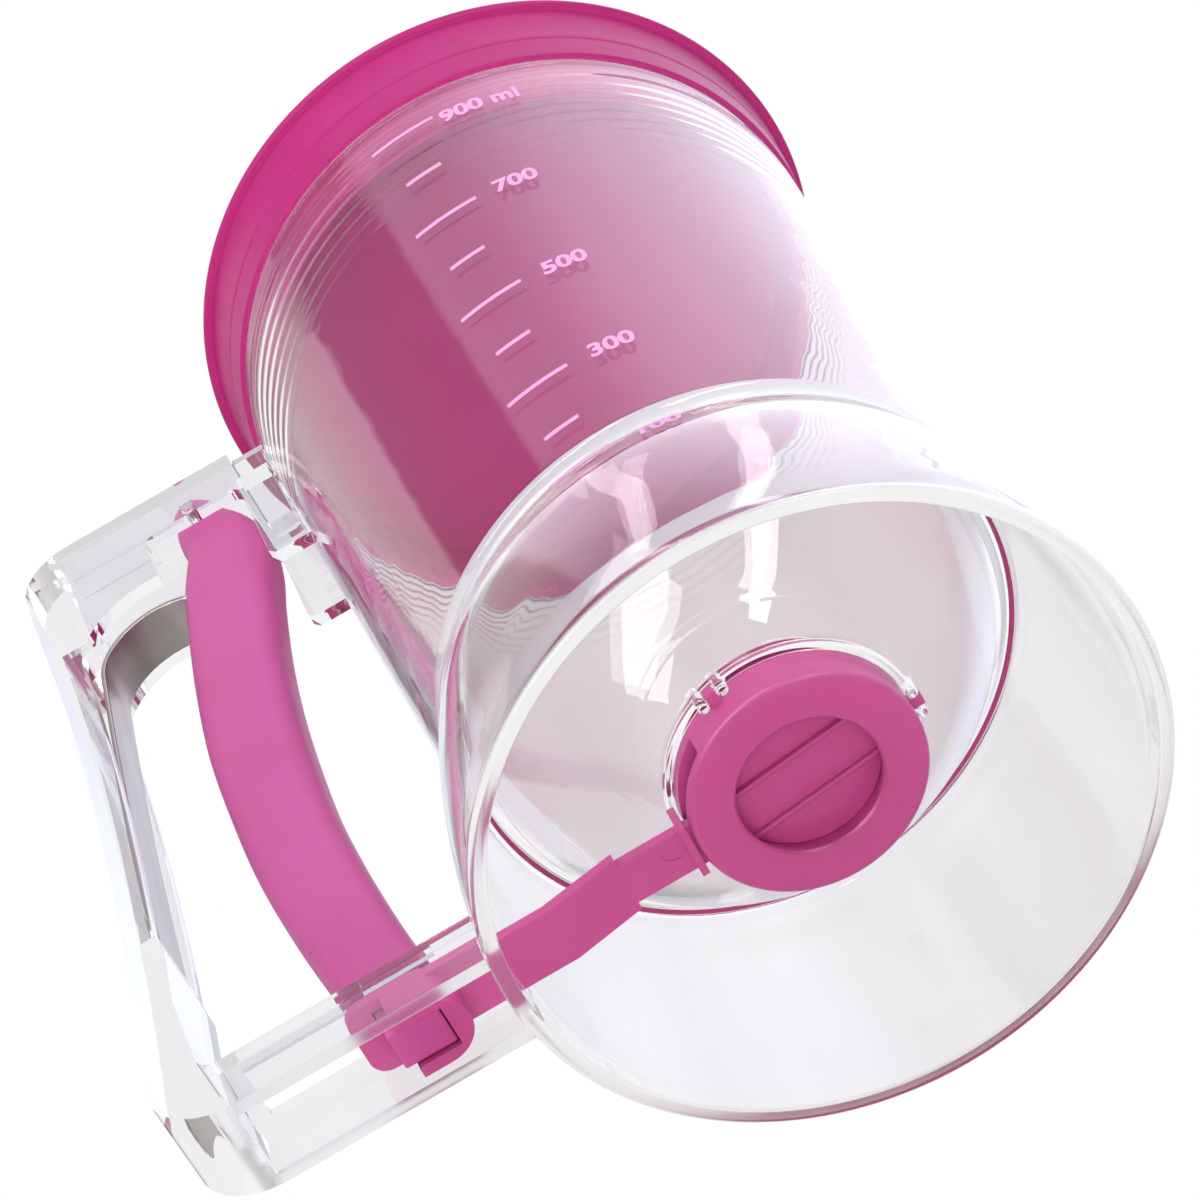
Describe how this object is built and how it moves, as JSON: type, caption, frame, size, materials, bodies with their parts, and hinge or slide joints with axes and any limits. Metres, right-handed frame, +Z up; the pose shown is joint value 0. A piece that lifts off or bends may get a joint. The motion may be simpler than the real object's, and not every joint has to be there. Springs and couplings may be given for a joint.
{
  "type": "batter dispenser",
  "caption": "Hand-held batter dispenser: clear graduated jug with funnel floor, squeeze trigger in a clear loop handle, sliding gate valve under the outlet, flared press-on lid.",
  "frame": {"origin": "centre of the open foot, on the plane the foot stands on", "axes": "+Z up along the jug's axis, -X towards the handle, the printed marks face -Y"},
  "size_m": [0.162, 0.1096, 0.178],
  "materials": {
    "clear_plastic": "clear injection-moulded plastic, polished",
    "trigger_pink": "satin moulded plastic",
    "valve_pink": "glossy moulded plastic",
    "lid_pink": "glossy moulded plastic",
    "spring_steel": "rolled stainless strip",
    "pin_steel": "ground pin",
    "seal_silicone": "soft silicone"
  },
  "bodies": {
    "jug_body": {"jug": "clear_plastic", "handle_frame": "clear_plastic", "valve_collar": "valve_pink", "valve_seal": "seal_silicone", "pivot_pin": "pin_steel", "leaf_spring": "spring_steel"},
    "trigger": {"trigger": "trigger_pink"},
    "gate": {"gate_slide": "valve_pink", "gate_disc": "valve_pink"},
    "lid": {"lid": "lid_pink"}
  },
  "joints": [
    {"name": "trigger_squeeze", "type": "hinge", "parent": "jug_body", "child": "trigger", "pos_m": [-0.0663, 0, 0.1555], "axis": [0, 1, 0], "range_deg": [0, 7.36], "stiffness_Nm_per_rad": 2, "springref_deg": -5.73, "deforming": ["leaf_spring"]},
    {"name": "gate_pull", "type": "slide", "parent": "jug_body", "child": "gate", "axis": [-1, 0, 0], "range_m": [0, 0.019]},
    {"name": "lid_lift", "type": "slide", "parent": "jug_body", "child": "lid", "axis": [0, 0, 1], "range_m": [0, 0.04]}
  ],
  "couplings": [
    {"joint": "gate_pull", "follows": "trigger_squeeze", "m_per_rad": 0.1478}
  ]
}
